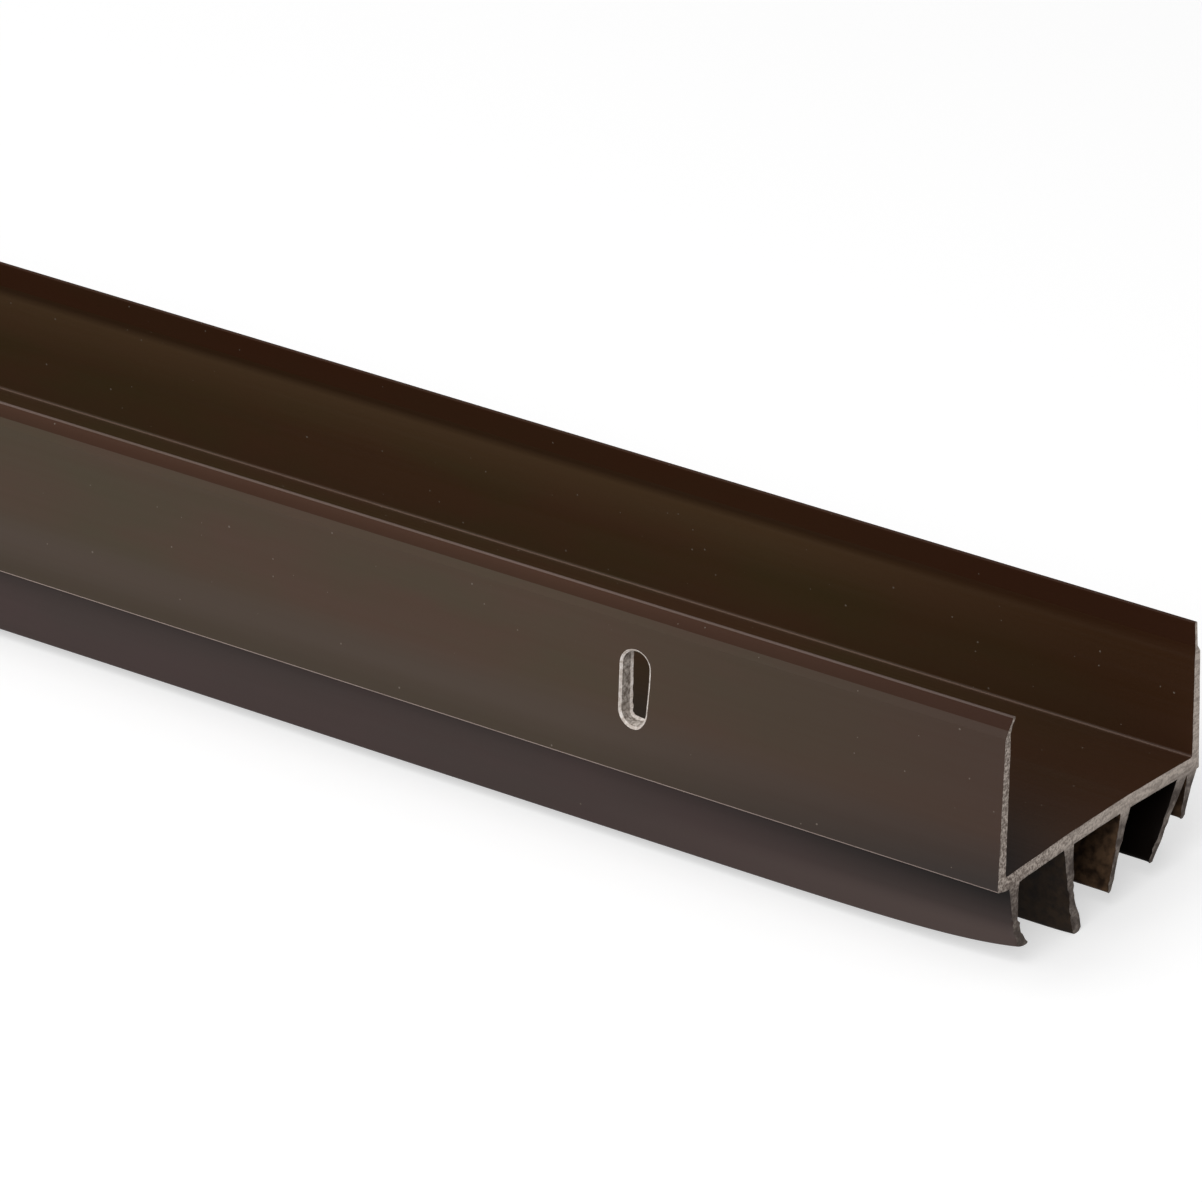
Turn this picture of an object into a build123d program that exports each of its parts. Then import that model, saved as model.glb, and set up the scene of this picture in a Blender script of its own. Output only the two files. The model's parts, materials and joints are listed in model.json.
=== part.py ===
from build123d import *

import os
from math import cos, radians, sin, tan
from typing import NamedTuple

# Slide-on door bottom seal: one length of extruded vinyl.
# A channel takes the door's bottom edge, and five fins below it sweep the sill.
# X runs along the strip, -Y is the slotted face, +Z is up, and Z is 0 at the lowest fin tip.
# All sizes are in millimetres.

# Strip and channel
LENGTH = 914.4             # fits a 36 inch door
DOOR_THICKNESS = 44.45     # 1 3/4 inch door
DOOR_CLEARANCE = 0.55      # play of the door between the two legs
BASE_THICKNESS = 2.1
BASE_CROWN = 0.7           # rise of the base at its middle, on both of its faces
HEEL_RISE = 0.6            # bevel under the slotted leg, from its outer face to the first fin
CORNER_FILLET = 0.5        # inside the channel, where the legs meet the base

# Legs
LEG_ROOT = 1.75            # wall where a leg leaves the base
LEG_TOP = 1.25             # wall at the shoulder under a lip
FRONT_LEG_HEIGHT = 23.65   # base datum to shoulder, slotted leg
BACK_LEG_HEIGHT = 18.7     # base datum to shoulder, plain leg
FRONT_TOE_IN = 1.7         # degrees that the slotted leg leans on the door

# Lips along the top of the legs
LIP_THICKNESS = 0.55
FRONT_LIP_REACH = 1.0      # how far the lip's tip leans in over the channel, slotted leg
BACK_LIP_REACH = 0.2       # the same, plain leg
LIP_BEND = 2.5             # radius inside the channel, where a lip leaves its leg
FRONT_LIP_HEIGHT = 1.65    # shoulder to lip tip, slotted leg
BACK_LIP_HEIGHT = 3.7      # shoulder to lip tip, plain leg
SHOULDER_BEVEL = 1.0       # fall of the shoulder outside each lip

# Screw slots in the front leg
SLOT_COUNT = 4
SLOT_WIDTH = 5.0
SLOT_LENGTH = 11.5
SLOT_END_INSET = 59.8      # strip end to the nearest slot's centre
SLOT_CENTRE_HEIGHT = 13.2  # base datum to slot centre

# Fins
FIN_ROOT = 1.5
FIN_TIP = 1.0
FIN_FLARE = 0.5            # spread of each side of a fin where it joins the base
FIN_SEAT = 0.3             # depth of a fin's root inside the base


class Fin(NamedTuple):
    inset: float   # front face to the fin's centre line at the base
    length: float  # base datum to tip, along the fin
    lean: float    # degrees towards the slotted face
    bow: float     # bulge towards the slotted face at mid length


FINS = [
    Fin(inset=3.95, length=11.3, lean=-4.5, bow=0.4),
    Fin(inset=16.9, length=13.2, lean=-7.5, bow=0.3),
    Fin(inset=30.6, length=10.9, lean=19.5, bow=0.3),
    Fin(inset=44.6, length=12.4, lean=38.0, bow=0.2),
    Fin(inset=46.9, length=6.6, lean=21.0, bow=0.2),
]


def fin_drop(fin):
    """Depth of a fin's rounded tip below the base datum."""
    return (fin.length - FIN_TIP / 2) * cos(radians(fin.lean)) + FIN_TIP / 2


# Derived sizes
CHANNEL_WIDTH = DOOR_THICKNESS + DOOR_CLEARANCE
OUTER_WIDTH = CHANNEL_WIDTH + 2 * LEG_ROOT
HALF_WIDTH = OUTER_WIDTH / 2
FIN_DROP = max(fin_drop(fin) for fin in FINS)
SLOT_PITCH = (LENGTH - 2 * SLOT_END_INSET) / (SLOT_COUNT - 1)


def underside(y):
    """Height of the base's crowned underside at y, above the base datum."""
    return BASE_CROWN * (1 - (y / HALF_WIDTH) ** 2)


def crowned_base():
    """The base, with slanted ends that stay inside the legs."""
    reach = HALF_WIDTH - LEG_ROOT / 2
    crest = BASE_THICKNESS + BASE_CROWN
    lower = ThreePointArc((-HALF_WIDTH, 0), (0, BASE_CROWN), (HALF_WIDTH, 0))
    upper = ThreePointArc((reach, BASE_THICKNESS), (0, crest), (-reach, BASE_THICKNESS))
    return make_face([lower, Line(lower @ 1, upper @ 0), upper, Line(upper @ 1, lower @ 0)])


def leg_with_lip(height, toe_in, lip_height, lip_reach):
    """A tapered leg at the front face, with a thin lip that carries on from its inner face."""
    lean = tan(radians(toe_in))
    outer_root = Vector(-HALF_WIDTH, 0)
    inner_root = outer_root + Vector(LEG_ROOT, 0)
    inner_top = inner_root + Vector(height * lean, height)
    lip_root = inner_top - Vector(LIP_THICKNESS, 0)
    shoulder = inner_top - Vector(LEG_TOP, SHOULDER_BEVEL)
    lip_tip = inner_top + Vector(lip_reach, lip_height - LIP_THICKNESS / 2)
    inside = Line(inner_top, lip_tip)
    outside = Line(lip_root, lip_tip - Vector(LIP_THICKNESS, 0))
    crest = (inside @ 1 + outside @ 1) / 2 + (inside % 1) * LIP_THICKNESS / 2
    rounded_tip = ThreePointArc(inside @ 1, crest, outside @ 1)
    wall = Polyline(lip_root, shoulder, outer_root, inner_root, inner_top)
    leg = make_face([wall, inside, rounded_tip, outside])
    return fillet(leg.vertices().sort_by_distance(inner_top)[0], LIP_BEND)


def fin_blade(fin):
    """A fin with a flared root, sides that bow and taper, and a rounded tip."""
    lean = radians(fin.lean)
    down = Vector(-sin(lean), -cos(lean))
    across = Vector(cos(lean), -sin(lean))
    centre_y = fin.inset - HALF_WIDTH
    root = Vector(centre_y, underside(centre_y))
    tip = Vector(centre_y, 0) + down * (fin.length - FIN_TIP / 2)
    half_root = FIN_ROOT / 2 / cos(lean)
    middle = (root + tip) / 2 - across * fin.bow

    def side(way):
        start = root + Vector(way * (half_root + FIN_FLARE), FIN_SEAT)
        neck = root + Vector(way * half_root, 0) + down * 2 * FIN_FLARE
        waist = middle + across * way * (FIN_ROOT + FIN_TIP) / 4
        end = tip + across * way * FIN_TIP / 2
        return Bezier(start, neck, waist, end)

    front, back = side(-1), side(1)
    nose = ThreePointArc(front @ 1, tip + down * FIN_TIP / 2, back @ 1)
    return make_face([front, nose, back, Line(back @ 0, front @ 0)])


def heel_bevel():
    """What is taken off under the slotted leg, in front of the first fin."""
    reach = FINS[0].inset - FIN_ROOT / 2 - FIN_FLARE
    corner = Vector(-HALF_WIDTH, 0)
    return make_face(Polyline(corner, corner + Vector(0, HEEL_RISE), corner + Vector(reach, 0), close=True))


def channel_section():
    """The whole extruded section, with its datum at the ends of the base's underside."""
    front_leg = leg_with_lip(FRONT_LEG_HEIGHT, FRONT_TOE_IN, FRONT_LIP_HEIGHT, FRONT_LIP_REACH)
    back_leg = leg_with_lip(BACK_LEG_HEIGHT, 0, BACK_LIP_HEIGHT, BACK_LIP_REACH)
    section = crowned_base() + front_leg + mirror(back_leg, about=Plane.YZ) - heel_bevel()
    for way in (-1, 1):
        corner = Vector(way * CHANNEL_WIDTH / 2, BASE_THICKNESS)
        section = fillet(section.vertices().sort_by_distance(corner)[0], CORNER_FILLET)
    for fin in FINS:
        section += fin_blade(fin)
    return section


def screw_slots():
    """Upright slots through the front leg, in a row that ends the same distance from both ends."""
    slot = Rot(Z=90) * SlotOverall(SLOT_LENGTH, SLOT_WIDTH)
    cutter = extrude(Plane.XZ * slot, amount=HALF_WIDTH)
    row = GridLocations(SLOT_PITCH, 0, SLOT_COUNT, 1)
    height = FIN_DROP + SLOT_CENTRE_HEIGHT
    return [Pos(place.position.X, 0, height) * cutter for place in row]


def door_bottom_seal():
    section = Plane.YZ * Pos(0, FIN_DROP) * channel_section()
    strip = extrude(section, amount=LENGTH / 2, both=True)
    return strip - screw_slots()


os.makedirs("parts", exist_ok=True)
export_step(door_bottom_seal(), "parts/door_bottom_seal.step")
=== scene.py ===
import json
import math
from itertools import product
from typing import NamedTuple

import bmesh
import bpy
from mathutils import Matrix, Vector, geometry, noise


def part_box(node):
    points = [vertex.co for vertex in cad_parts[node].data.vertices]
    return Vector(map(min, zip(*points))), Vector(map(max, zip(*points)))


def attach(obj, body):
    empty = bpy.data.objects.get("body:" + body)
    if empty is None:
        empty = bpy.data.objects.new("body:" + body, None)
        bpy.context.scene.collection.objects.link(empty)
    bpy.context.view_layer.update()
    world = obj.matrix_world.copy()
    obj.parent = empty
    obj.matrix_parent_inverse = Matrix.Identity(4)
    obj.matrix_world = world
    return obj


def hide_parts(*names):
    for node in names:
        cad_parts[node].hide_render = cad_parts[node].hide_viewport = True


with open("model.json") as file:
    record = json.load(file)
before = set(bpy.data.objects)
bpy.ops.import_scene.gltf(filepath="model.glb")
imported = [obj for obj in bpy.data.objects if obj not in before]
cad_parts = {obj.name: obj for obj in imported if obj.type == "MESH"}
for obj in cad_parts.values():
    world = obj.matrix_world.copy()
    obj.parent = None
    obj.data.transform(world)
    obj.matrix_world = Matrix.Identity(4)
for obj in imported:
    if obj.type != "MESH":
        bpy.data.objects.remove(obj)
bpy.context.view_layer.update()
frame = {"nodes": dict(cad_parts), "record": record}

# A door bottom seal, one length of extruded vinyl: a channel for the door's edge with fins below it.
# X runs along the strip, -Y is the slotted face and +Z is up. Sizes are in metres.

MM = 0.001
NODE = "door_bottom_seal"

strip_low, strip_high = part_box(NODE)

CUT_END = strip_high.x        # the sawn end that faces the camera
FAR_END = strip_low.x
FRONT_FACE = strip_low.y      # outer face of the slotted leg, at its heel
LEG_BACK = FRONT_FACE / 2     # the whole slotted leg lies in front of this
BASE = strip_high.z - 25.3 * MM   # level of the base's outer edges, below the front lip's tip

# Levels that part the section into channel, lips and fins
FIN_LEVEL = BASE - 0.1 * MM
FRONT_LIP_LEVEL = BASE + 23.6 * MM
BACK_LIP_LEVEL = BASE + 18.7 * MM
UNDERSIDE_LEVEL = BASE + 0.9 * MM
# Pale lines of painted highlight: the front lip's tip, the heel and the channel's back corner
TIP_HIGHLIGHT_DEPTH = 0.18 * MM
HEEL_HIGHLIGHT_WIDTH = 0.5 * MM
HEEL_HIGHLIGHT_TOP = BASE + 0.75 * MM
CORNER_HIGHLIGHT_SPAN = (22.25 * MM, 22.6 * MM)
CORNER_HIGHLIGHT_TOP = BASE + 2.35 * MM
# The first fin ends here, and so does the second fin's darker tone, which is painted shade. The deepest gap
# lies before the fourth fin and is painted nearly black as shade.
FIRST_FIN_BACK = -17 * MM
SECOND_FIN_BACK = -4.5 * MM
DEEP_GAP = (8 * MM, 19.5 * MM)

# The section's outline
EDGE_ROUND = 0.4 * MM         # an extruded corner is never quite sharp
EDGE_STEPS = 4
EDGE_SHARE = 0.45             # a round takes up no more than this share of a side
SHARP_TURN = math.radians(45)
LONG_SIDE = 2.5 * MM          # longer sides of the outline are divided
FIN_SIDE = 0.7 * MM           # and the fins' sides more finely, for a ragged cut
LEG_SIDE = 10 * MM            # in front of LEG_BACK, only the leg's two faces are higher than this
LEG_ROW = 1.0 * MM            # and they are divided at each whole row
ROW_MARGIN = 0.1              # share of a row that stays clear at the faces' ends
DIGITS = 7                    # corners that agree to this many decimals are one
TOUCH = 1e-6                  # places that are closer than this are one
CREASE = math.radians(30)     # sharper turns aren't shaded smooth
FLAT_WEIGHT = 80              # how far the larger faces decide the shading of the rounds beside them

# Screw slots
WINDOW_ROWS = (18, 34)        # the rows of the leg that a slot's patch takes up
WINDOW_HALF_WIDTH = 5.5 * MM
WINDOW_COLUMNS = 12
WINDOW_MARGIN = 1 * MM        # other stations stay this far from a patch
FACE_RINGS = (1.4 * MM, 0.6 * MM, 0.08 * MM, 0.0)   # the last one is whitened on the outer face
RIM_WIDTH = 0.28 * MM         # the punch leaves a pale bevel round the slot
RIM_DEPTH = 0.25 * MM
WALL_RINGS = 7
TORN_WALL = 0.09 * MM         # how deep the wall is torn
PUNCH_GRAIN = 0.5 * MM        # and how far apart its tears are
BURR_DEPTH = 1.0 * MM         # the punch pushed a thin collar out of the inner face
BURR_WALL = 0.3 * MM
BURR_COLLAR = 0.6 * BURR_DEPTH
BURR_LIP = 0.25 * MM          # and the collar's ragged end leans into the slot
TORN_BURR = 2 * TORN_WALL
SLOT_PINCH = 0.45 * MM        # the slot is narrower at the foot of its right side
PINCH_START = -0.5            # where that begins, as a share of its half length below its middle
ROUND_END = 2                 # the slot's ends are round outside
SQUARE_END = 5                # and squarer where the punch broke through

# How the strip was sawn and how its soft fins have set
STATION_GAP = 12 * MM         # spacing of the outlines along the strip
END_REACH = 30 * MM           # they are closer together over this length at both ends
END_STATIONS = 16
SAW_WANDER = 0.18 * MM        # how far the saw strayed from a flat cut
SAW_WAVE = 6 * MM
SAW_GRAIN = 0.7 * MM
SAW_SHARES = (0.5, 0.2, 0.3)  # how much of it is even, in waves and in grains
SAW_TEAR = 0.45 * MM          # ragged outline of the fins where the saw came through
TEAR_GRAIN = 0.6 * MM
TEAR_REACH = 0.3 * MM
TEAR_DEPTHS = (0.1, 0.4)      # shares of the fins' depth where the tears begin and are full
FIN_WAVE = 0.2 * MM
FIN_WAVE_LENGTH = 70 * MM
FIN_SPACING = 12 * MM         # each fin has waves of its own
CURL_REACH = 11 * MM          # the first fin curls back and up over this length at the cut end
CURL_PIVOT = BASE - 3 * MM
CURL_BACK = 0.7 * MM
CURL_LIFT = 2.5 * MM
CURL_POWER = 1.5              # the lift grows towards the fin's tip
GRIT = 0.45 * MM              # spacing of the torn grains on a sawn face
GRIT_JITTER = 0.4             # how far a grain strays and how far it stays from the edge, in spacings
GRIT_MARGIN = 0.3
GRIT_PITCH = 1.7              # step of the jitter's noise from grain to grain
GRIT_SEED = 1                 # sets noise_vector's offsets, which differ from run to run without it


class SmearedTip(NamedTuple):
    middle: float   # Y of the fin's tip
    back: float     # how far the saw smeared its back half backwards
    down: float     # and downwards
    depths: tuple   # shares of the fins' depth where the smear begins and is full


SMEARED_TIPS = (
    SmearedTip(FRONT_FACE + 4.7 * MM, back=1.95 * MM, down=0.55 * MM, depths=(0.4, 1.0)),
    SmearedTip(FRONT_FACE + 18.4 * MM, back=1.1 * MM, down=0, depths=(0.58, 0.82)),
)
SMEAR_REACH = 1.8 * MM
HALF_TIP = 0.6 * MM
TIP_REACH = 4 * HALF_TIP


class Slot(NamedTuple):
    x: float
    z: float
    half_width: float
    half_length: float


def pairs(points):
    """Each point with the next one, and the last with the first."""
    return zip(points, points[1:] + points[:1])


def end_outline(solid, end):
    """The section's outline as (y, z) points in order, read off the solid's flat face at one end."""
    edges = set()
    for face in solid.data.polygons:
        corners = [solid.data.vertices[i].co for i in face.vertices]
        if max(abs(corner.x - end) for corner in corners) > TOUCH:
            continue
        ring = [(round(corner.y, DIGITS), round(corner.z, DIGITS)) for corner in corners]
        for here, there in pairs(ring):
            if (there, here) in edges:
                edges.remove((there, here))
            else:
                edges.add((here, there))
    onward = dict(edges)
    outline = [min(onward)]
    while onward[outline[-1]] != outline[0]:
        outline.append(onward[outline[-1]])
    return [Vector(point) for point in outline]


def with_rounded_edges(outline):
    """Gives each sharp outer edge of the section a small round."""
    rounded = []
    for index, here in enumerate(outline):
        before = outline[index - 1] - here
        after = outline[(index + 1) % len(outline)] - here
        turn = math.pi - before.angle(after)
        outward = before.x * after.y - before.y * after.x < 0
        if turn < SHARP_TURN or not outward:
            rounded.append(here)
            continue
        reach = min(EDGE_ROUND * math.tan(turn / 2), EDGE_SHARE * before.length, EDGE_SHARE * after.length)
        start = here + before.normalized() * reach
        stop = here + after.normalized() * reach
        for step in range(EDGE_STEPS + 1):
            share = step / EDGE_STEPS
            rounded.append(start.lerp(here, share).lerp(here.lerp(stop, share), share))
    return rounded


def with_divided_sides(outline):
    """Divides long sides, and the slotted leg at whole rows, so that both its faces have the same rows."""
    divided = []
    for here, there in pairs(outline):
        divided.append(here)
        span = there - here
        if here.x < LEG_BACK and abs(span.y) > LEG_SIDE:
            low, high = sorted((here.y, there.y))
            first = math.ceil(low / LEG_ROW + ROW_MARGIN)
            last = math.floor(high / LEG_ROW - ROW_MARGIN)
            shares = sorted((row * LEG_ROW - here.y) / span.y for row in range(first, last + 1))
        else:
            in_fin = max(here.y, there.y) < FIN_LEVEL
            count = math.ceil(span.length / (FIN_SIDE if in_fin else LONG_SIDE))
            shares = [step / count for step in range(1, count)]
        divided += [here.lerp(there, share) for share in shares]
    return divided


def screw_slots():
    """The screw slots, from the record's mounts."""
    slots = []
    for mount in frame["record"]["mounts"]:
        if mount["kind"] == "bolt_pattern":
            x, _, z = mount["pos_m"]
            size = mount["dims"]
            slots.append(Slot(x, z, size["hole_r_mm"] * MM, size["slot_length_mm"] / 2 * MM))
    return slots


def stations(slots):
    """Places along the strip: close together at the sawn ends and across the slots."""
    length = CUT_END - FAR_END
    count = round(length / STATION_GAP)
    places = [FAR_END + length * step / count for step in range(count + 1)]
    places = [x for x in places if END_REACH < x - FAR_END and END_REACH < CUT_END - x]
    for slot in slots:
        start, stop = slot.x - WINDOW_HALF_WIDTH, slot.x + WINDOW_HALF_WIDTH
        places = [x for x in places if not start - WINDOW_MARGIN < x < stop + WINDOW_MARGIN]
        places += [start + (stop - start) * step / WINDOW_COLUMNS for step in range(WINDOW_COLUMNS + 1)]
    for step in range(END_STATIONS + 1):
        inset = END_REACH * (step / END_STATIONS) ** 2
        places += [FAR_END + inset, CUT_END - inset]
    return sorted(places)


def fade(distance, reach):
    return math.exp(-distance / reach)


def smooth(value, low, high):
    """A soft step from 0 at low to 1 at high."""
    share = min(1, max(0, (value - low) / (high - low)))
    return share * share * (3 - 2 * share)


def saw_wander(y, z):
    """How far the saw strayed inwards from a flat cut."""
    waves = noise.noise(Vector((y, z, 0)) / SAW_WAVE)
    grains = noise.noise(Vector((y, z, 1)) / SAW_GRAIN)
    even_share, wave_share, grain_share = SAW_SHARES
    return SAW_WANDER * (even_share + wave_share * waves + grain_share * grains)


def placed(x, point):
    """Where a point of the outline lies at x, with the saw's marks and the set of the soft fins."""
    y, z = point
    from_cut = CUT_END - x
    depth = max(0, FIN_LEVEL - z) / FIN_LEVEL
    wave = noise.noise(Vector((x / FIN_WAVE_LENGTH, round(y / FIN_SPACING), 0)))
    shift, lift = FIN_WAVE * depth * wave, 0
    for tip in SMEARED_TIPS:
        if abs(y - tip.middle) < TIP_REACH:
            back_half = smooth(y - tip.middle, -HALF_TIP, HALF_TIP)
            smear = back_half * smooth(depth, *tip.depths) * fade(from_cut, SMEAR_REACH)
            shift += tip.back * smear
            lift -= tip.down * smear
    if z < CURL_PIVOT and y < FIRST_FIN_BACK:
        along = (CURL_PIVOT - z) / CURL_PIVOT
        curl = fade(from_cut, CURL_REACH)
        shift += CURL_BACK * curl * along
        lift += CURL_LIFT * curl * along ** CURL_POWER
    tear = noise.noise(Vector((y, z, 2)) / TEAR_GRAIN)
    shift += SAW_TEAR * fade(from_cut, TEAR_REACH) * smooth(depth, *TEAR_DEPTHS) * tear
    if from_cut < TOUCH:
        x -= saw_wander(y, z)
    elif x - FAR_END < TOUCH:
        x += saw_wander(y, z)
    return Vector((x, y + shift, z + lift))


def leg_faces(outline):
    """Outline indices of the slotted leg's rows, on its outer and its inner face."""
    outer, inner = {}, {}
    low, high = WINDOW_ROWS
    for row in range(low, high + 1):
        level = row * LEG_ROW
        found = [i for i, p in enumerate(outline) if abs(p.y - level) < TOUCH and p.x < LEG_BACK]
        outer[row], inner[row] = sorted(found, key=lambda i: outline[i].x)
    return outer, inner


def face_line(outline, rows):
    """Gives the Y of one face of the slotted leg at any Z."""
    low, high = WINDOW_ROWS
    foot, top = outline[rows[low]], outline[rows[high]]
    slope = (top.x - foot.x) / (top.y - foot.y)
    return lambda z: foot.x + slope * (z - foot.y)


def window_ring(sections, columns, rows):
    """The vertices round a slot's window in one face of the leg, in order."""
    low, high = WINDOW_ROWS
    left, right = sections[columns[0]], sections[columns[-1]]
    ring = [sections[column][rows[low]] for column in columns[:-1]]
    ring += [right[rows[row]] for row in range(low, high)]
    ring += [sections[column][rows[high]] for column in columns[:0:-1]]
    ring += [left[rows[row]] for row in range(high, low, -1)]
    return ring


def slot_ring(mesh, window, slot, offset, face_y, depth, power, torn=0):
    """A ring of vertices round the slot, offset from its edge and sunk into the leg from its face.
    A power of 2 gives it round ends, and a higher one squarer ends."""
    straight = slot.half_length - slot.half_width
    ring = []
    for vertex in window:
        level = min(slot.z + straight, max(slot.z - straight, vertex.co.z))
        centre = Vector((slot.x, level))
        way = (Vector((vertex.co.x, vertex.co.z)) - centre).normalized()
        way /= (abs(way.x) ** power + abs(way.y) ** power) ** (1 / power)
        spot = centre + way * (slot.half_width + offset)
        y = face_y(spot.y) + depth
        spot += way * torn * noise.noise(Vector((spot.x, y, spot.y)) / PUNCH_GRAIN)
        rightward = smooth(spot.x, slot.x, slot.x + slot.half_width)
        downward = smooth(slot.z - spot.y, PINCH_START * slot.half_length, slot.half_length)
        pinch = SLOT_PINCH * rightward * downward
        ring.append(mesh.verts.new((spot.x - pinch, y, spot.y)))
    return ring


def bridge(mesh, first, second, material):
    """Joins two rings of vertices with a band of faces."""
    for (a, b), (c, d) in zip(pairs(first), pairs(second)):
        face = mesh.faces.new((a, b, d, c))
        face.material_index = material


def surround(mesh, window, slot, face_y, power, edge_material):
    """Fills a window in one face of the leg with rings, up to the slot's edge, and returns the edge."""
    ring = window
    for offset in FACE_RINGS:
        next_ring = slot_ring(mesh, window, slot, offset, face_y, 0, power)
        bridge(mesh, ring, next_ring, edge_material if offset == 0 else CHANNEL)
        ring = next_ring
    return ring


def punch_slot(mesh, slot, outer_window, inner_window, outer_y, inner_y):
    """Fills both windows round a slot, and adds its bevelled rim, its torn wall and the burr behind."""
    edge = surround(mesh, outer_window, slot, outer_y, ROUND_END, RIM)
    rim = slot_ring(mesh, outer_window, slot, -RIM_WIDTH, outer_y, RIM_DEPTH, ROUND_END)
    bridge(mesh, edge, rim, RIM)

    edge = surround(mesh, inner_window, slot, inner_y, SQUARE_END, CHANNEL)
    reach = BURR_WALL - RIM_WIDTH
    collar = slot_ring(mesh, inner_window, slot, reach, inner_y, BURR_COLLAR, SQUARE_END)
    bridge(mesh, edge, collar, CHANNEL)
    reach = -RIM_WIDTH - BURR_LIP
    burr = slot_ring(mesh, inner_window, slot, reach, inner_y, BURR_DEPTH, SQUARE_END, TORN_BURR)
    bridge(mesh, collar, burr, RIM)

    ring = rim
    for step in range(1, WALL_RINGS):
        share = step / WALL_RINGS

        def wall_y(z):
            start, stop = outer_y(z) + RIM_DEPTH, inner_y(z) + BURR_DEPTH
            return start + (stop - start) * share

        power = ROUND_END + (SQUARE_END - ROUND_END) * share
        next_ring = slot_ring(mesh, outer_window, slot, -RIM_WIDTH, wall_y, 0, power, TORN_WALL)
        bridge(mesh, ring, next_ring, PUNCHED)
        ring = next_ring
    bridge(mesh, ring, burr, RIM)


def inside(spot, ring):
    """Whether a (y, z) spot lies within the ring of points."""
    within = False
    for a, b in pairs(ring):
        if (a.y > spot.y) != (b.y > spot.y):
            within ^= spot.x < a.x + (b.x - a.x) * (spot.y - a.y) / (b.y - a.y)
    return within


def sawn_cap(mesh, section, cut_x):
    """Closes one end with a face of torn grains. cut_x gives the cut's X at a grain's place."""
    ring = [Vector((vertex.co.y, vertex.co.z)) for vertex in section]
    end = section[0].co.x
    columns = math.ceil((strip_high.y - strip_low.y) / GRIT)
    rows = math.ceil(strip_high.z / GRIT)
    noise.seed_set(GRIT_SEED)
    grains = []
    for column, row in product(range(columns), range(rows)):
        spot = Vector((strip_low.y + column * GRIT, row * GRIT))
        jitter = noise.noise_vector(Vector((spot.x, spot.y, end)) / GRIT * GRIT_PITCH)
        spot += Vector((jitter.x, jitter.y)) * GRIT_JITTER * GRIT
        if inside(spot, ring) and min((spot - point).length for point in ring) > GRIT_MARGIN * GRIT:
            grains.append(spot)
    count = len(ring)
    edges = [(i, (i + 1) % count) for i in range(count)]
    points = [point / MM for point in ring + grains]
    keep_inside, merge = 1, 1e-5
    made = geometry.delaunay_2d_cdt(points, edges, [list(range(count))], keep_inside, merge)
    places, _, triangles, sources = made[:4]
    vertices = []
    for place, origins in zip(places, sources):
        if origins and origins[0] < count:
            vertices.append(section[origins[0]])
        else:
            y, z = place * MM
            vertices.append(mesh.verts.new((cut_x(y, z), y, z)))
    for triangle in triangles:
        face = mesh.faces.new([vertices[i] for i in triangle])
        face.material_index = SAWN


# The strip's kinds of vinyl, and its zones of painted highlight and painted shade, in the order of its
# materials
(CHANNEL, LIP, FIN, SECOND_FIN_SHADE, INNER_FIN, DEEP_GAP_SHADE,
 LIP_EDGE_HIGHLIGHT, HEEL_HIGHLIGHT, CORNER_HIGHLIGHT, SAWN, PUNCHED, RIM) = range(12)


def zone(point):
    """Which vinyl a point of the outline is made of; some zones are painted highlight and painted shade
    instead.
    """
    # Behind the first fin, painted shade: the second fin and the deepest gap get darker copies of the inner
    # fins' vinyl
    if point.x > FIRST_FIN_BACK and point.y < UNDERSIDE_LEVEL:
        if point.x < SECOND_FIN_BACK:
            return SECOND_FIN_SHADE
        return DEEP_GAP_SHADE if DEEP_GAP[0] < point.x < DEEP_GAP[1] else INNER_FIN
    # Thin zones of painted highlight along the front lip's tip, the heel and the channel's back corner
    if point.y > strip_high.z - TIP_HIGHLIGHT_DEPTH:
        return LIP_EDGE_HIGHLIGHT
    if point.x < FRONT_FACE + HEEL_HIGHLIGHT_WIDTH and point.y < HEEL_HIGHLIGHT_TOP:
        return HEEL_HIGHLIGHT
    if CORNER_HIGHLIGHT_SPAN[0] < point.x < CORNER_HIGHLIGHT_SPAN[1] and point.y < CORNER_HIGHLIGHT_TOP:
        return CORNER_HIGHLIGHT
    if point.y < FIN_LEVEL:
        return FIN
    if point.y > (FRONT_LIP_LEVEL if point.x < 0 else BACK_LIP_LEVEL):
        return LIP
    return CHANNEL


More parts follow.
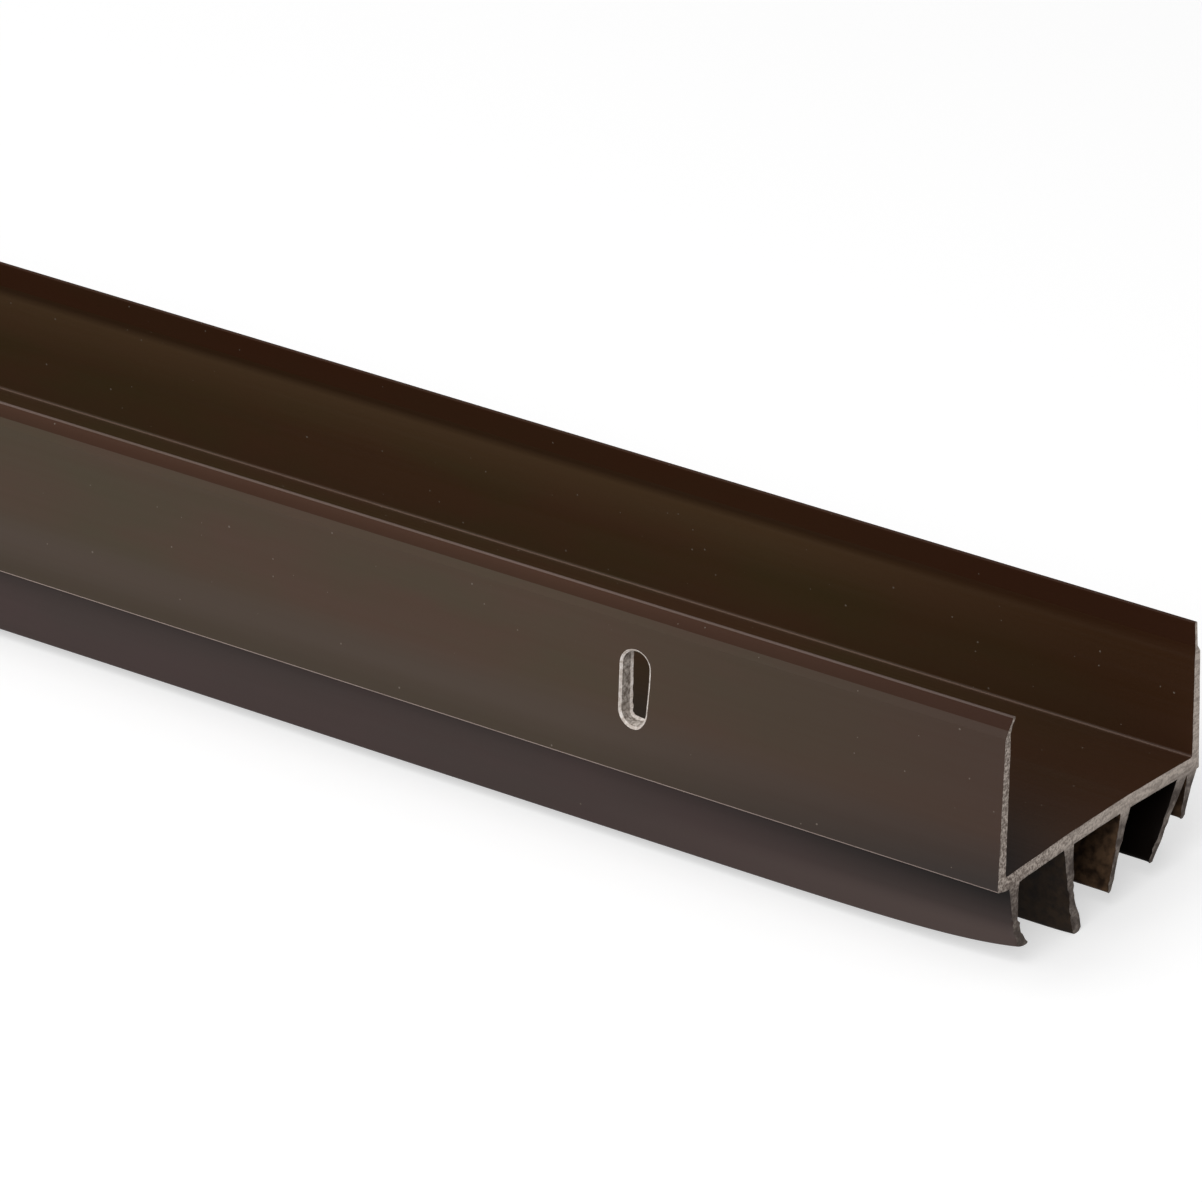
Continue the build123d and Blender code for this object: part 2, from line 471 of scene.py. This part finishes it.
def strip_mesh():
    """The whole strip: the outline swept along X, with patches round the slots and sawn ends."""
    outline = with_divided_sides(with_rounded_edges(end_outline(frame["nodes"][NODE], CUT_END)))
    zones = [zone((here + there) / 2) for here, there in pairs(outline)]
    outer, inner = leg_faces(outline)
    slots = screw_slots()
    places = stations(slots)
    mesh = bmesh.new()
    sections = [[mesh.verts.new(placed(x, point)) for point in outline] for x in places]

    windows = []
    covered = set()
    for slot in slots:
        columns = [i for i, x in enumerate(places) if abs(x - slot.x) < WINDOW_HALF_WIDTH + TOUCH]
        windows.append(columns)
        for column, rows, row in product(columns[:-1], (outer, inner), range(*WINDOW_ROWS)):
            covered.add((column, min(rows[row], rows[row + 1])))

    for column, (near, far) in enumerate(zip(sections, sections[1:])):
        for i, material in enumerate(zones):
            if (column, i) not in covered:
                k = (i + 1) % len(outline)
                face = mesh.faces.new((near[i], near[k], far[k], far[i]))
                face.material_index = material

    outer_y, inner_y = face_line(outline, outer), face_line(outline, inner)
    for slot, columns in zip(slots, windows):
        outer_window = window_ring(sections, columns, outer)
        inner_window = window_ring(sections, columns, inner)
        punch_slot(mesh, slot, outer_window, inner_window, outer_y, inner_y)

    sawn_cap(mesh, sections[0], lambda y, z: FAR_END + saw_wander(y, z))
    sawn_cap(mesh, sections[-1], lambda y, z: CUT_END - saw_wander(y, z))
    unused = [vertex for vertex in mesh.verts if not vertex.link_faces]
    bmesh.ops.delete(mesh, geom=unused, context="VERTS")
    bmesh.ops.recalc_face_normals(mesh, faces=mesh.faces)
    data = bpy.data.meshes.new("extruded_strip")
    mesh.to_mesh(data)
    mesh.free()
    data.shade_smooth()
    data.set_sharp_from_angle(angle=CREASE)
    return data


def linear(code):
    """An sRGB hex colour as linear red, green, blue and alpha."""
    parts = [int(code[i:i + 2], 16) / 255 for i in (1, 3, 5)]
    return [c / 12.92 if c < 0.04045 else ((c + 0.055) / 1.055) ** 2.4 for c in parts] + [1]


def add(tree, kind, inputs=None, **settings):
    """Adds a node with its settings. Its inputs take values, other nodes' outputs, or other nodes,
    which give the first output that they have in use."""
    node = tree.nodes.new("ShaderNode" + kind)
    for name, value in settings.items():
        setattr(node, name, value)
    for name, value in (inputs or {}).items():
        if isinstance(value, bpy.types.Node):
            value = next(output for output in value.outputs if output.enabled)
        if isinstance(value, bpy.types.NodeSocket):
            tree.links.new(value, node.inputs[name])
        else:
            node.inputs[name].default_value = value
    return node


def new_material(name):
    material = bpy.data.materials.new(name)
    material.use_nodes = True
    material.node_tree.nodes.clear()
    return material, material.node_tree


# Extruded vinyl. A range is the part of a noise's span that goes from one tone to the other.
VINYL_IOR = 1.53
CLOUD = 9 * MM                # soft clouds of tone
CLOUD_STRETCH = 0.3           # drawn out along the strip
CLOUD_RANGE = (0.35, 0.65)
FIN_BLOTCH = 1.4 * MM         # small blotches on the fins behind the first one
DIE_LINE = 0.8 * MM           # coarser than real die lines, so that they show
DIE_STRETCH = 0.012
DIE_RANGE = (0.3, 0.7)
DIE_SHEEN = 0.05              # how far they change the roughness
DIE_HEIGHT = 0.3              # their height in the bump, next to the grain's
GRAIN = 0.35 * MM
GRAIN_DEPTH = 0.01 * MM
GRAIN_STRENGTH = 0.5
DUST_GAP = 2 * MM             # room round each speck of dust
DUST_RADIUS = 0.16 * MM
DUST_TONE = "#665B51"
END_SHADE_REACH = 70 * MM      # painted shade towards the sawn end comes in over this length, up to this share
END_SHADE_SHARE = 0.9
SIDE_FADE = (8 * MM, 19 * MM)   # a band comes in between these distances from the strip's middle
FRONT, BACK = -1, 1           # the side of the strip that a band lies on

# Torn vinyl
TORN_RANGE = (0.41, 0.59)
TORN_RAGGEDNESS = 0.65
TORN_DEPTH = 0.12 * MM
TORN_STRENGTH = 0.7
TORN_ROUGHNESS = 0.75
PALER_FROM, PALER_TO = -20 * MM, 5 * MM   # the cut is paler towards the back, by this share
PALER_SHARE = 0.6
STREAK = 0.5 * MM             # dark streaks across the cut
STREAK_STRETCH = 0.2
STREAK_RANGE = (0.45, 0.62)
STREAK_SHARE = 0.45
BROWN_TONE = "#3E3027"        # the fins' own brown, smeared over their cut in blotches
BROWN_FROM, BROWN_TO = BASE + 1.4 * MM, BASE - 1.4 * MM
BROWN_BLOTCH = 1.1 * MM
BROWN_RANGE = (0.35, 0.6)
BROWN_SHARES = (0.66, 1)


class Band(NamedTuple):
    side: int
    start: float   # level where the band begins
    full: float    # level where it has come in fully
    tone: str


def banded(tree, axes, body, band, strength):
    """Lays a band of another tone over a body's colour; the strip's bands are painted highlights and
    painted shade.
    """
    level = add(tree, "MapRange", {"Value": axes["Z"], "From Min": band.start, "From Max": band.full})
    sideways = add(tree, "Math", {0: axes["Y"], 1: band.side}, operation="MULTIPLY")
    on_side = add(tree, "MapRange", {"Value": sideways, "From Min": SIDE_FADE[0], "From Max": SIDE_FADE[1]})
    part = add(tree, "Math", {0: level, 1: on_side}, operation="MULTIPLY")
    share = add(tree, "Math", {0: part, 1: strength}, operation="MULTIPLY")
    return add(tree, "Mix", {"Factor": share, "A": body, "B": linear(band.tone)}, data_type="RGBA")


def extruded_vinyl(name, tones, end_shade=None, roughness=0.45, gloss=0.1, dust=0.5,
                   blotch=CLOUD, stretch=CLOUD_STRETCH, bands=(), end_bands=()):
    """Bands of painted highlight and painted shade run along the strip. The end shade, painted shade that
    darkens the strip towards the sawn end, and the end bands come in near the sawn end only.
    Bands run along the strip. The end tone and the end bands come in near the sawn end only."""
    material, tree = new_material(name)
    place = add(tree, "TexCoord").outputs["Object"]
    axes = add(tree, "SeparateXYZ", {"Vector": place}).outputs

    along = add(tree, "Mapping", {"Vector": place, "Scale": (stretch, 1, 1)})
    clouds = add(tree, "TexNoise", {"Vector": along, "Scale": 1 / blotch, "Detail": 4})
    cloudy = add(tree, "MapRange", {"Value": clouds, "From Min": CLOUD_RANGE[0],
                                    "From Max": CLOUD_RANGE[1]})
    first, second = (linear(tone) for tone in tones)
    body = add(tree, "Mix", {"Factor": cloudy, "A": first, "B": second}, data_type="RGBA")
    near_end = add(tree, "MapRange", {"Value": axes["X"], "From Min": CUT_END - END_SHADE_REACH,
                                      "From Max": CUT_END, "To Max": END_SHADE_SHARE})
    # Bands of painted highlight and painted shade along the strip
    for band in bands:
        body = banded(tree, axes, body, band, 1)
    # Painted shade towards the sawn end, then painted highlights and shade near that end only
    if end_shade:
        body = add(tree, "Mix", {"Factor": near_end, "A": body, "B": linear(end_shade)}, data_type="RGBA")
    for band in end_bands:
        body = banded(tree, axes, body, band, near_end)

    cells = add(tree, "TexVoronoi", {"Vector": place, "Scale": 1 / DUST_GAP}).outputs
    chance = add(tree, "SeparateColor", {"Color": cells["Color"]}).outputs["Red"]
    radius = add(tree, "MapRange", {"Value": chance, "From Min": 1 - dust, "From Max": 1,
                                    "To Max": DUST_RADIUS / DUST_GAP})
    speck = add(tree, "Math", {0: cells["Distance"], 1: radius}, operation="LESS_THAN")
    colour = add(tree, "Mix", {"Factor": speck, "A": body, "B": linear(DUST_TONE)}, data_type="RGBA")

    drawn = add(tree, "Mapping", {"Vector": place, "Scale": (DIE_STRETCH, 1, 1)})
    lines = add(tree, "TexNoise", {"Vector": drawn, "Scale": 1 / DIE_LINE, "Detail": 3})
    sheen = add(tree, "MapRange", {"Value": lines, "From Min": DIE_RANGE[0], "From Max": DIE_RANGE[1],
                                   "To Min": roughness - DIE_SHEEN, "To Max": roughness + DIE_SHEEN})
    grain = add(tree, "TexNoise", {"Vector": place, "Scale": 1 / GRAIN, "Detail": 2})
    height = add(tree, "Math", {0: lines, 1: DIE_HEIGHT, 2: grain}, operation="MULTIPLY_ADD")
    bump = add(tree, "Bump", {"Height": height, "Distance": GRAIN_DEPTH, "Strength": GRAIN_STRENGTH})
    shader = add(tree, "BsdfPrincipled", {"Base Color": colour, "Roughness": sheen, "Normal": bump,
                                          "IOR": VINYL_IOR, "Specular IOR Level": gloss})
    add(tree, "OutputMaterial", {"Surface": shader})
    return material


def torn_vinyl(name, light, dark, grit):
    """Vinyl that a saw or a punch has torn: pale, dull and rough, streaked, and brown down the fins."""
    material, tree = new_material(name)
    place = add(tree, "TexCoord").outputs["Object"]
    axes = add(tree, "SeparateXYZ", {"Vector": place}).outputs

    coarse = add(tree, "TexNoise", {"Vector": place, "Scale": 1 / grit, "Detail": 4,
                                    "Roughness": TORN_RAGGEDNESS})
    spread = add(tree, "MapRange", {"Value": coarse, "From Min": TORN_RANGE[0], "From Max": TORN_RANGE[1]})
    paler = add(tree, "MapRange", {"Value": axes["Y"], "From Min": PALER_FROM, "From Max": PALER_TO,
                                   "To Max": PALER_SHARE})
    pale = add(tree, "Math", {0: spread, 1: paler}, operation="ADD")
    mottled = add(tree, "Mix", {"Factor": pale, "A": linear(dark), "B": linear(light)}, data_type="RGBA")

    drawn = add(tree, "Mapping", {"Vector": place, "Scale": (1, STREAK_STRETCH, 1)})
    streaks = add(tree, "TexNoise", {"Vector": drawn, "Scale": 1 / STREAK, "Detail": 3})
    streaked = add(tree, "MapRange", {"Value": streaks, "From Min": STREAK_RANGE[0],
                                      "From Max": STREAK_RANGE[1], "To Max": STREAK_SHARE})
    torn = add(tree, "Mix", {"Factor": streaked, "A": mottled, "B": linear(dark)}, data_type="RGBA")

    blotches = add(tree, "TexNoise", {"Vector": place, "Scale": 1 / BROWN_BLOTCH, "Detail": 2})
    most = add(tree, "MapRange", {"Value": blotches, "From Min": BROWN_RANGE[0], "From Max": BROWN_RANGE[1],
                                  "To Min": BROWN_SHARES[0], "To Max": BROWN_SHARES[1]})
    brown = add(tree, "MapRange", {"Value": axes["Z"], "From Min": BROWN_FROM, "From Max": BROWN_TO,
                                   "To Max": most})
    colour = add(tree, "Mix", {"Factor": brown, "A": torn, "B": linear(BROWN_TONE)}, data_type="RGBA")
    bump = add(tree, "Bump", {"Height": coarse, "Distance": TORN_DEPTH, "Strength": TORN_STRENGTH})
    shader = add(tree, "BsdfPrincipled", {"Base Color": colour, "Roughness": TORN_ROUGHNESS,
                                          "Normal": bump, "IOR": VINYL_IOR})
    add(tree, "OutputMaterial", {"Surface": shader})
    return material


def strip_materials():
    """One material for each kind of vinyl and each zone of painted highlight and painted shade, in their
    order.
    """
    return [
        # Satin brown of the channel, a little olive, with a soft sheen on its front face. Its bands are
        # painted light: a painted highlight down the back leg's upper part, painted shade just under the
        # back lip, a paler band of painted reflection low on the front side and painted shade just above
        # the heel. Towards the sawn end, painted shade darkens it, most at the foot of the front face.
        extruded_vinyl("rigid_vinyl_extruded", ("#392C15", "#3F2816"), "#331B09", gloss=0.33, dust=0.8,
                       bands=(Band(BACK, BASE + 10 * MM, BASE + 16.8 * MM, "#4A3622"),
                              Band(BACK, BASE + 16.9 * MM, BASE + 18.1 * MM, "#33200F"),
                              Band(FRONT, BASE + 11 * MM, BASE + 7 * MM, "#3E2F22"),
                              Band(FRONT, BASE + 5.5 * MM, BASE + 2 * MM, "#342512")),
                       end_bands=[Band(FRONT, BASE + 9 * MM, BASE + 1.5 * MM, "#190C05")]),
        # Redder and duller bands along the tops of both legs, with a painted highlight coming in towards
        # the front lip's tip
        extruded_vinyl("soft_vinyl_extruded_lip", ("#382314", "#3A2113"), "#331C10", gloss=0.12,
                       bands=[Band(FRONT, BASE + 23.7 * MM, BASE + 25.0 * MM, "#41291B")]),
        # Darker, greyer satin of the first fin. Near the sawn end, a painted shadow under the heel darkens
        # its upper part and a painted highlight lightens its curled lower part.
        extruded_vinyl("soft_vinyl_extruded_fin", ("#433835", "#463836"), "#433835", dust=0.2,
                       end_bands=(Band(FRONT, BASE - 7 * MM, BASE - 1 * MM, "#080505"),
                                  Band(FRONT, BASE - 5.5 * MM, BASE - 8 * MM, "#524541"))),
        # Dull dark brown of the second fin: painted shade, a darker copy of the fins behind it
        extruded_vinyl("soft_vinyl_extruded_second_fin", ("#1B130E", "#34281D"), roughness=0.6,
                       blotch=FIN_BLOTCH, stretch=1),
        # Lighter, blotched brown of the fins behind it
        extruded_vinyl("soft_vinyl_extruded_inner_fin", ("#281C13", "#584331"), roughness=0.6,
                       blotch=FIN_BLOTCH, stretch=1),
        # Nearly black painted shade in the deepest gap, before the fourth fin
        extruded_vinyl("soft_vinyl_extruded_deep_fin", ("#140C08", "#1A100B"), "#0A0604", roughness=0.6,
                       gloss=0.05, dust=0.9),
        # Thin pale line along the front lip's tip: a painted highlight
        extruded_vinyl("vinyl_lip_edge_rubbed", ("#5E4A42", "#564338"), "#4C3B33", gloss=0.4, dust=0.1),
        # Bright thin line along the heel of the slotted leg: a painted highlight
        extruded_vinyl("vinyl_heel_rubbed", ("#B59E92", "#AC968C"), "#98837A", gloss=0.4, dust=0.1),
        # Faint line in the channel's back corner: a painted highlight on its round
        extruded_vinyl("vinyl_corner_rubbed", ("#685144", "#634D40"), "#58443A", roughness=0.5,
                       gloss=0.15, dust=0.1),
        # Pale rough section at the ends, browner down the fins
        torn_vinyl("vinyl_sawn", "#D8CABE", "#6F6056", grit=0.4 * MM),
        # Grey ragged walls of the slots
        torn_vinyl("vinyl_punched", "#DAD0C7", "#7E7268", grit=0.6 * MM),
        # Whitened rims where the punch stretched the vinyl
        torn_vinyl("vinyl_stretched_white", "#EAE2DC", "#BEB2A8", grit=0.6 * MM),
    ]


def make_strip():
    piece = bpy.data.objects.new("extruded_strip", strip_mesh())
    bpy.context.scene.collection.objects.link(piece)
    for material in strip_materials():
        piece.data.materials.append(material)
    even = piece.modifiers.new("even_faces", "WEIGHTED_NORMAL")
    even.keep_sharp = True
    even.weight = FLAT_WEIGHT
    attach(piece, "root")
    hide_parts(NODE)


# The studio
WHITE = "#FFFFFF"
FLOOR_HALF = 4
FLOOR_TONE = "#C8C8C8"
FLOOR_ROUGHNESS = 0.8
FLOOR_GLOW = 0.56
ROOM_LIGHT = 0.28
LIGHTS_AIM = Vector((CUT_END - 50 * MM, 0, 0))


class SoftBox(NamedTuple):
    name: str
    place: tuple
    size: float
    power: float


SOFT_BOXES = (
    SoftBox("front_soft_box", place=(0.72, -1.15, 1.08), size=1.1, power=16.3),
    SoftBox("overhead_soft_box", place=(-0.4, -0.2, 1.25), size=1.0, power=4.5),
    SoftBox("left_soft_box", place=(-0.4, -0.95, 0.85), size=0.6, power=1.6),
)


def make_floor():
    """A plain white table top. It adds a little white of its own to what the camera and reflections see."""
    data = bpy.data.meshes.new("floor")
    corners = [(x * FLOOR_HALF, y * FLOOR_HALF, 0) for x, y in ((-1, -1), (1, -1), (1, 1), (-1, 1))]
    data.from_pydata(corners, [], [(0, 1, 2, 3)])
    floor = bpy.data.objects.new("floor", data)
    bpy.context.scene.collection.objects.link(floor)
    # Matt white that shows as a plain, even background
    material, tree = new_material("white_table_laminate")
    path = add(tree, "LightPath").outputs
    seen = path["Is Camera Ray"]
    for ray in ("Is Glossy Ray", "Is Transmission Ray"):
        seen = add(tree, "Math", {0: seen, 1: path[ray]}, operation="MAXIMUM")
    glow = add(tree, "Math", {0: seen, 1: FLOOR_GLOW}, operation="MULTIPLY")
    shader = add(tree, "BsdfPrincipled", {"Base Color": linear(FLOOR_TONE), "Roughness": FLOOR_ROUGHNESS,
                                          "Emission Color": linear(WHITE), "Emission Strength": glow})
    add(tree, "OutputMaterial", {"Surface": shader})
    data.materials.append(material)


def make_lights():
    """A soft box high in front, two weaker ones to the left, and an even dim room."""
    for soft_box in SOFT_BOXES:
        lamp = bpy.data.lights.new(soft_box.name, "AREA")
        lamp.shape = "SQUARE"
        lamp.size = soft_box.size
        lamp.energy = soft_box.power
        light = bpy.data.objects.new(soft_box.name, lamp)
        light.location = soft_box.place
        aim = LIGHTS_AIM - light.location
        light.rotation_euler = aim.to_track_quat("-Z", "Y").to_euler()
        bpy.context.scene.collection.objects.link(light)
    world = bpy.data.worlds.new("studio")
    bpy.context.scene.world = world
    world.use_nodes = True
    tree = world.node_tree
    tree.nodes.clear()
    room = add(tree, "Background", {"Color": linear(WHITE), "Strength": ROOM_LIGHT})
    add(tree, "OutputWorld", {"Surface": room})


# The photograph's view
AZIMUTH = math.radians(36.25)
ELEVATION = math.radians(25.15)
SENSOR_MM = 36
LENS_MM = 294.2
DISTANCE = 1.2936
LOOK_AT = Vector((CUT_END - 51.9 * MM, FRONT_FACE - 17.7 * MM, BASE + 35.5 * MM))


def make_camera():
    data = bpy.data.cameras.new("photo_view")
    data.sensor_width = SENSOR_MM
    data.lens = LENS_MM
    camera = bpy.data.objects.new("photo_view", data)
    level = math.cos(ELEVATION)
    back = Vector((math.sin(AZIMUTH) * level, -math.cos(AZIMUTH) * level, math.sin(ELEVATION)))
    camera.location = LOOK_AT + back * DISTANCE
    camera.rotation_euler = (-back).to_track_quat("-Z", "Y").to_euler()
    bpy.context.scene.collection.objects.link(camera)
    bpy.context.scene.camera = camera


make_strip()
make_floor()
make_lights()
make_camera()
bpy.context.scene.view_settings.view_transform = "Standard"
